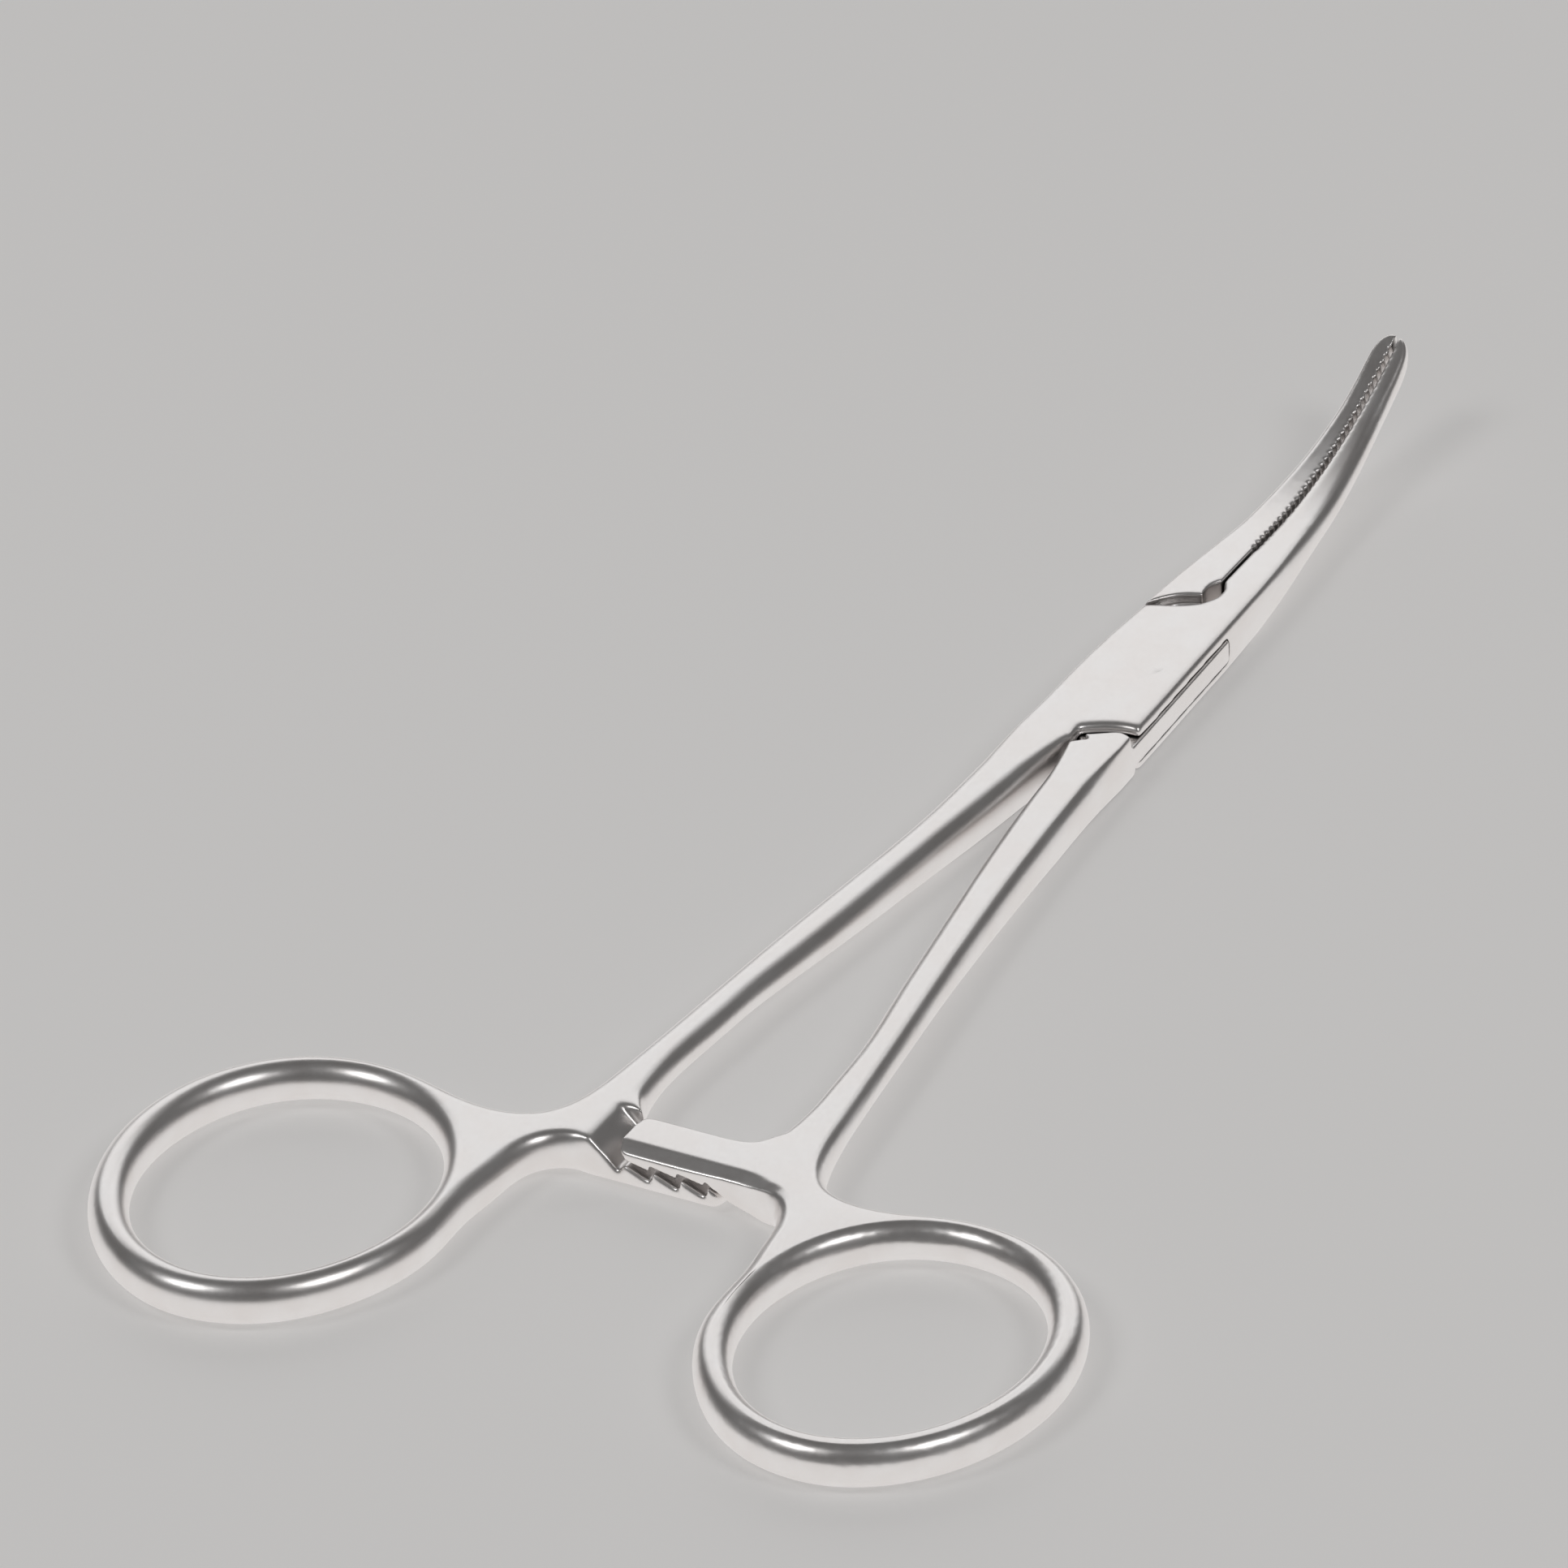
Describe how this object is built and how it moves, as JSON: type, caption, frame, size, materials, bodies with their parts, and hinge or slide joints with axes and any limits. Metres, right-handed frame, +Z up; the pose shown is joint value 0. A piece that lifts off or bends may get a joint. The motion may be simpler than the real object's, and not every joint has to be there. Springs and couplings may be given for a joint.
{
  "type": "hemostat forceps",
  "caption": "Curved locking forceps with finger rings, ratchet bars, box-lock pivot and upward-curving serrated jaws, for clamping vessels and small parts.",
  "frame": {"origin": "pivot axis at the underside of the box", "axes": "+Y along the closed instrument towards the jaw tips, +X towards the ring of the tongue half, +Z up, the way the jaws curve"},
  "size_m": [0.0704, 0.1388, 0.0087],
  "materials": {
    "box_half": "satin",
    "tongue_half": "satin",
    "pivot_pin": "satin"
  },
  "bodies": {
    "box_side": {"box_half": "box_half", "pivot_pin": "pivot_pin"},
    "tongue_side": {"tongue_half": "tongue_half"}
  },
  "joints": [
    {"name": "box_lock", "type": "hinge", "parent": "box_side", "child": "tongue_side", "pos_m": [0, 0, 0.00175], "axis": [0, 0, 1], "range_deg": [0, 40]}
  ]
}
